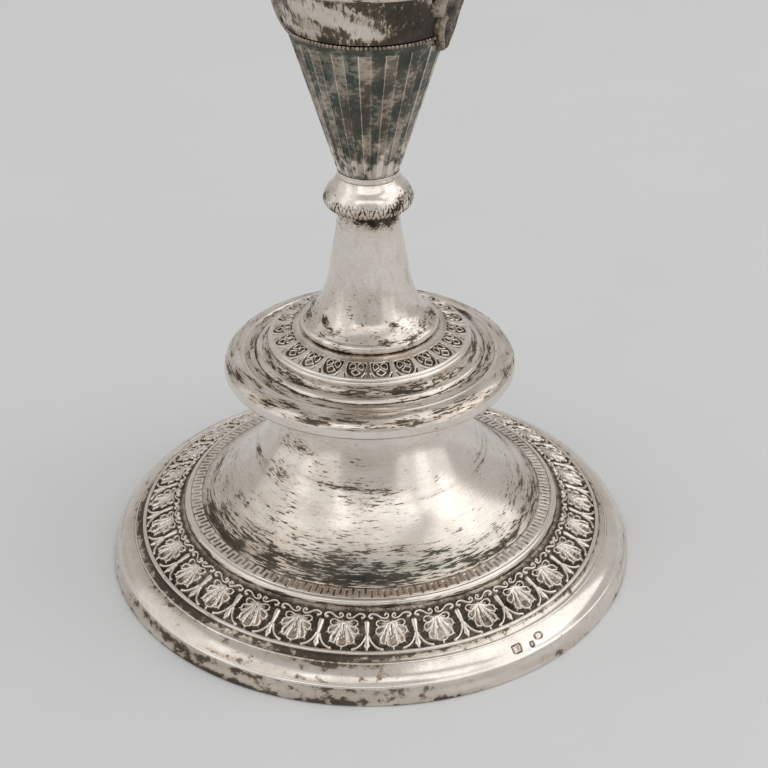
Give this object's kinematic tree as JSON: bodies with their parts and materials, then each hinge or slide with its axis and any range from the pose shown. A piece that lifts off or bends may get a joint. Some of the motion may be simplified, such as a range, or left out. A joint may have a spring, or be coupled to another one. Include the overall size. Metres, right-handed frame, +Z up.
{
  "type": "altar candlestick",
  "caption": "Altar candlestick with a stepped round foot, palmette band, trumpet stem, fluted vase, drip pan and a lift-out nozzle.",
  "frame": {"origin": "centre of the foot, on the surface that it stands on", "axes": "+Z is up along the stem's axis, +X passes through one applied leaf, the other leaf is on -X"},
  "size_m": [0.16, 0.16, 0.2975],
  "materials": {
    "silver": "polished silver with a soft, worn shine and dark tarnish in the corners",
    "tarnished_silver": "silver with bright high points and dark brown to grey-green tarnish in the recesses",
    "ballast_iron": "rough cast iron",
    "board_wood": "plain turned wood",
    "baize": "green baize",
    "rod_steel": "plain iron, darkened"
  },
  "bodies": {
    "root": {"foot_rim": "silver", "band_wire": "silver", "palmette_band": "tarnished_silver", "foot_bell": "silver", "disc_underside": "silver", "disc_top": "silver", "step_ring": "silver", "leaf_band": "tarnished_silver", "trumpet_stem": "silver", "stem_knop": "silver", "cup_collar": "silver", "fluted_cup": "tarnished_silver", "bead_wire": "tarnished_silver", "waist_band": "tarnished_silver", "waist_ring": "silver", "shoulder": "silver", "leaf_mounts": "silver", "neck_collar": "silver", "neck": "silver", "neck_knop": "silver", "pan_support": "silver", "drip_pan": "silver", "pan_beads": "silver", "socket_collar": "silver", "candle_socket": "silver", "ballast_disc": "ballast_iron", "base_board": "board_wood", "baize_pad": "baize", "base_washer": "rod_steel", "base_nut": "rod_steel", "tie_rod": "rod_steel", "top_nut": "rod_steel"},
    "nozzle": {"nozzle_tube": "silver", "nozzle_dish": "silver", "nozzle_beads": "silver"}
  },
  "joints": [
    {"name": "nozzle_lift", "type": "slide", "parent": "root", "child": "nozzle", "axis": [0, 0, 1], "range_m": [0, 0.035]}
  ]
}
